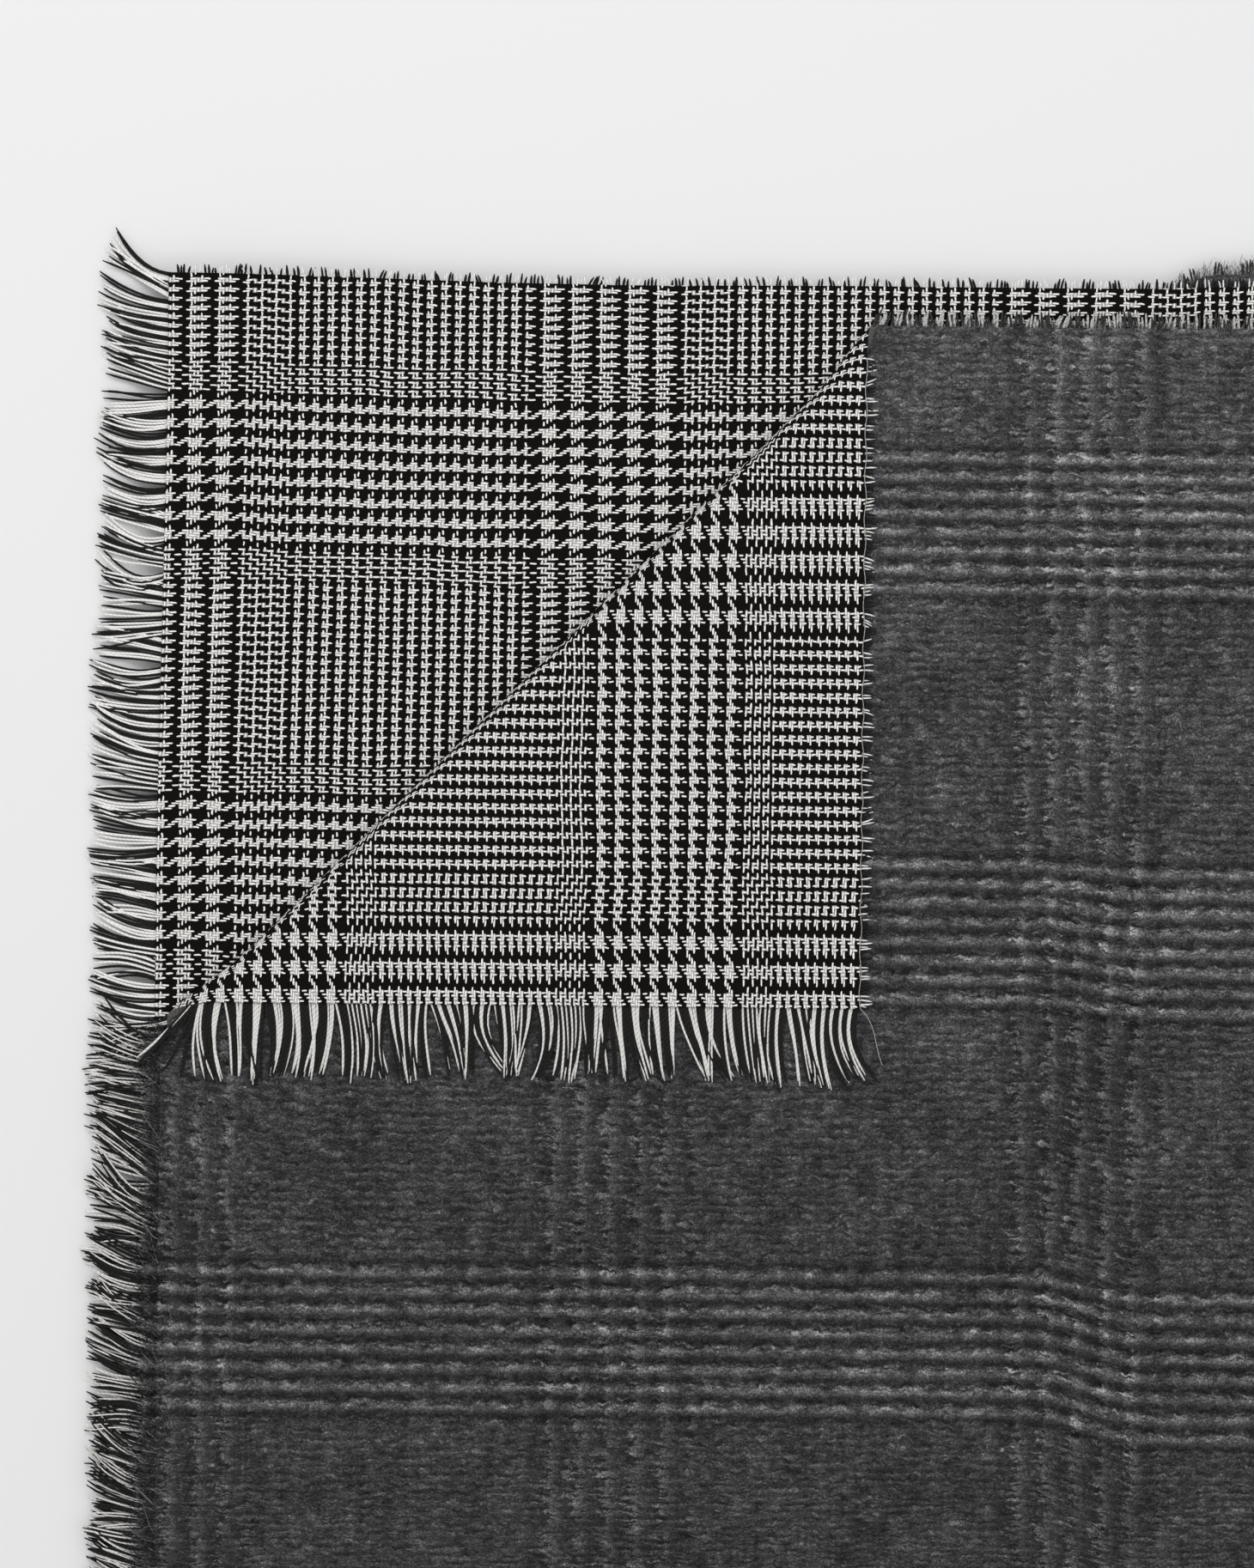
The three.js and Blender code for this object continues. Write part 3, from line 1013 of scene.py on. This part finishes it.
def brushed_material():
    """Charcoal pile brushed along the warp, with wavy strands over it.

    The check shows through as soft bars. Away from the cut edges it darkens in painted shade, where the light
    falls off. The parts add up in doublings of light.
    """
    n = Nodes("brushed_pile", 1.0)
    n.shader.inputs["Specular IOR Level"].default_value = 0.05
    weft, warp = n.pair("yarns")
    x = n.math("MULTIPLY", weft, WEFT_PITCH / MM)
    y = n.math("MULTIPLY", warp, WARP_PITCH / MM)
    place = n.combine(x, y)
    wave = n.math("SUBTRACT", n.noise(place, 0.07, 2.0, 0.55), 0.5)
    curl = n.math("SUBTRACT", n.noise(place, 0.38, 2.0, 0.6), 0.5)
    wind = n.math("MULTIPLY_ADD", wave, 7.0, n.math("MULTIPLY", curl, 4.2))
    combed_y = n.math("ADD", y, wind)
    combed = n.combine(n.math("MULTIPLY", x, 0.24), combed_y)
    broad = n.math("SUBTRACT", n.noise(combed, 0.5, 4.0, 0.68), 0.5)
    strand = n.noise(n.combine(n.math("MULTIPLY", x, 0.30), combed_y, 7.0), 1.15, 3.0, 0.6)
    crossing = n.combine(n.math("MULTIPLY_ADD", wind, 0.9, x), n.math("MULTIPLY", y, 0.55), 3.0)
    cross = n.noise(crossing, 0.95, 3.0, 0.6)
    blotch = n.math("SUBTRACT", n.noise(place, 0.075, 3.0, 0.6), 0.5)
    cloud = n.math("SUBTRACT", n.noise(place, 0.02, 2.0), 0.5)
    strand_lines = ridge(n, strand, 9.0)
    cross_lines = ridge(n, cross, 12.0)

    ragged = n.math("MULTIPLY_ADD", broad, 6.0, n.math("MULTIPLY", wave, 2.4))
    r, _ = warp_zone(n, n.math("ADD", warp, ragged))
    inside = n.less(r, WARP_GROUPS_END)
    columns = bars(n, weft_zone(n, n.math("MULTIPLY_ADD", ragged, 3.6, weft)), WEFT_GROUPS_END)
    fine_rows = n.math("SINE", n.math("MULTIPLY", n.math("ADD", warp, ragged), math.pi / 2))
    fine_columns = n.math("SINE", n.math("MULTIPLY", n.math("MULTIPLY_ADD", ragged, 1.6, weft), math.pi / 2))
    parts = (
        # Painted shade: darker away from the cut edges, where the light falls off.
        (painted_falloff(n, y), FALLOFF_DOUBLINGS),
        (bars(n, r, WARP_GROUPS_END), n.math("MULTIPLY_ADD", blotch, 2.4, 1.08)),
        (inside, 0.12),
        (columns, n.math("MULTIPLY_ADD", blotch, 2.0, 0.62)),
        (fine_rows, n.math("MULTIPLY_ADD", inside, -0.3, 0.3)),
        (fine_columns, 0.13),
        (broad, 7.4),
        (strand_lines, 1.4),
        (cross_lines, 1.2),
        (blotch, 2.0),
        (cloud, 1.6),
    )
    tone = 0.0
    for signal, strength in parts:
        tone = n.math("MULTIPLY_ADD", signal, strength, tone)
    tone = n.math("MULTIPLY", n.math("POWER", 2.0, tone), PILE_TONE)
    n.put(n.shader.inputs["Base Color"], n.colour(tone, DARK_PILE, LIGHT_PILE))
    lines = n.math("MULTIPLY_ADD", strand_lines, 0.35, n.math("MULTIPLY", cross, 0.3))
    n.bump(n.math("ADD", broad, lines), 0.9 * MM)
    return n.material


def painted_falloff(n, y):
    """Painted shade where the light falls off: 0 at the cut edges, and 1 from the reach above, in
    millimetres, inwards.
    """
    return n.math("MINIMUM", n.math("MULTIPLY", n.math("ABSOLUTE", y), 1 / FALLOFF_REACH), 1.0)


def edge_material():
    """The cut thickness of the cloth, where pile and weave end together."""
    n = Nodes("cloth_edge", 1.0)
    coordinates = n.tree.nodes.new("ShaderNodeTexCoord")
    speckle = n.noise(coordinates.outputs["Object"], 900.0, 3.0, 0.6)
    n.put(n.shader.inputs["Base Color"], n.colour(speckle, (0.015, 0.015, 0.015), (0.17, 0.165, 0.16)))
    n.bump(speckle, 0.5 * MM)
    return n.material


# The painted shade in a yarn's groove: its dark colour there is this share as light.
GROOVE_SHADE = 0.84


def yarn_material(name, dark, light):
    """A loose wool yarn, mottled between two colours, with painted shade in a groove where the mesh has a
    "spin" layer.
    """
    n = Nodes(name, 0.95)
    n.shader.inputs["Sheen Weight"].default_value = 0.07
    coordinates = n.tree.nodes.new("ShaderNodeTexCoord")
    fibre = n.noise(coordinates.outputs["Object"], 1400.0, 3.0, 0.65)
    along, around = n.pair("spin")
    turn = n.math("MULTIPLY_ADD", along, 1 / TWIST, around)
    ply = n.math("SINE", n.math("MULTIPLY", turn, 2 * math.pi))
    groove = n.math("POWER", n.math("MAXIMUM", ply, 0.0), 3.0)
    # Painted shade: the groove darkens the yarn's colour.
    shaded = tuple(GROOVE_SHADE * c for c in dark)
    tone = n.math("MULTIPLY", fibre, n.math("SUBTRACT", 1.0, groove))
    n.put(n.shader.inputs["Base Color"], n.colour(tone, n.colour(groove, dark, shaded), light))
    n.bump(n.math("MULTIPLY_ADD", groove, -0.8, fibre), 0.15 * MM)
    return n.material


# -------------------------------- floor, light and camera


def make_floor():
    bpy.ops.mesh.primitive_plane_add(size=60, location=(0, 0, -0.4 * MM))
    floor = bpy.context.object
    floor.name = "studio_floor"
    n = Nodes("studio_floor", 1.0)
    n.shader.inputs["Base Color"].default_value = (0.84, 0.84, 0.84, 1)
    n.shader.inputs["Specular IOR Level"].default_value = 0.0
    floor.data.materials.append(n.material)


def make_light():
    world = bpy.data.worlds.new("studio")
    bpy.context.scene.world = world
    world.use_nodes = True
    background = world.node_tree.nodes["Background"]
    background.inputs["Color"].default_value = (1, 1, 1, 1)
    background.inputs["Strength"].default_value = 0.69
    for name, place, size, power in (
        ("key", (-0.9, 1.6, 2.0), 1.4, 22.0),
        ("fill", (1.6, -0.9, 2.1), 2.0, 9.0),
    ):
        data = bpy.data.lights.new(name, "AREA")
        data.size = size
        data.energy = power
        lamp = bpy.data.objects.new(name, data)
        lamp.location = place
        lamp.rotation_euler = (-Vector(place)).to_track_quat("-Z", "Y").to_euler()
        bpy.context.scene.collection.objects.link(lamp)


# The photograph looks straight down on the fringed corner that was turned back.
VIEW_SIZE = 0.7359
VIEW_FROM_LEFT = 0.2148
VIEW_FROM_BACK = 0.2346
VIEW_ROLL = math.radians(0.6)


def make_camera():
    data = bpy.data.cameras.new("camera")
    data.lens = 100
    data.sensor_width = 36
    data.sensor_fit = "AUTO"
    camera = bpy.data.objects.new("camera", data)
    distance = VIEW_SIZE * data.lens / data.sensor_width
    camera.location = (LEFT + VIEW_FROM_LEFT, INNER_BACK - VIEW_FROM_BACK, HEIGHT + distance)
    camera.rotation_euler = (0, 0, VIEW_ROLL)
    bpy.context.scene.collection.objects.link(camera)
    bpy.context.scene.camera = camera


# -------------------------------- putting it together


YARN_COLOURS = {
    "black_yarn": ((0.006, 0.0056, 0.0052), (0.022, 0.021, 0.02)),
    "white_yarn": ((0.88, 0.87, 0.85), (0.97, 0.96, 0.94)),
    # A darker copy of the white yarn: painted shade for the fringes that lie on the dark cloth or under its
    # layers.
    "cream_yarn": ((0.66, 0.645, 0.62), (0.92, 0.905, 0.875)),
    # Dimmer copies of the black and white yarns, for the weft ends that stick out of the pile.
    "dusty_black_yarn": ((0.02, 0.02, 0.02), (0.06, 0.058, 0.056)),
    "dusty_white_yarn": ((0.34, 0.335, 0.33), (0.70, 0.69, 0.68)),
    "catch_thread": ((0.34, 0.33, 0.31), (0.55, 0.53, 0.5)),
    "light_fibre": ((0.15, 0.148, 0.146), (0.34, 0.335, 0.33)),
}
LAYER_BODIES = {
    "second": "upper_half", "top": "upper_half",
    "third": "lower_half", "bottom": "lower_half",
    "corner": "corner",
}


def build():
    check, brushed, edge = check_material(), brushed_material(), edge_material()
    faces = [check, brushed, edge]
    yarn = {name: yarn_material(name, dark, light) for name, (dark, light) in YARN_COLOURS.items()}
    white_yarns = [yarn["black_yarn"], yarn["white_yarn"]]
    shaded_white_yarns = [yarn["black_yarn"], yarn["cream_yarn"]]
    dim_yarns = [yarn["dusty_black_yarn"], yarn["dusty_white_yarn"]]

    upper = make_upper_cloth(faces)
    lower = make_lower_cloth(faces)
    side = make_side_fold(faces)
    bend = make_crease(faces)
    corner = make_corner_cloth(faces)
    fringes = make_fringes(white_yarns, shaded_white_yarns)
    cut_edges = make_cut_edges(white_yarns, dim_yarns)
    thread = make_catch_thread(yarn["catch_thread"])
    hairs = make_fuzz([brushed, yarn["light_fibre"]])

    for piece, body, slot in (
        (upper, "upper_half", "brushed_face"),
        (lower, "lower_half", "brushed_face"),
        (corner, "corner", "check_face"),
        (thread, "corner", "catch_thread"),
    ):
        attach(piece, body)
    for name, hair in hairs.items():
        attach(hair, LAYER_BODIES[layer_of_fuzz(name)])
    for layer, body in LAYER_BODIES.items():
        for row, node in ((fringes[layer], "fringe"), (cut_edges[layer], "cut_edge")):
            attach(row, body)
            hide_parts(f"{layer}_{node}")

    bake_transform(side)
    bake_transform(bend)

    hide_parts("top_panel", "second_panel", "upper_front_fold")
    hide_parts("bottom_panel", "third_panel", "lower_front_fold")
    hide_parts("side_fold_outer", "side_fold_inner")
    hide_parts("corner_crease")
    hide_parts("corner_flap")
    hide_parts("catch_thread")


make_floor()
make_light()
make_camera()
bpy.context.scene.view_settings.view_transform = "Standard"
build()
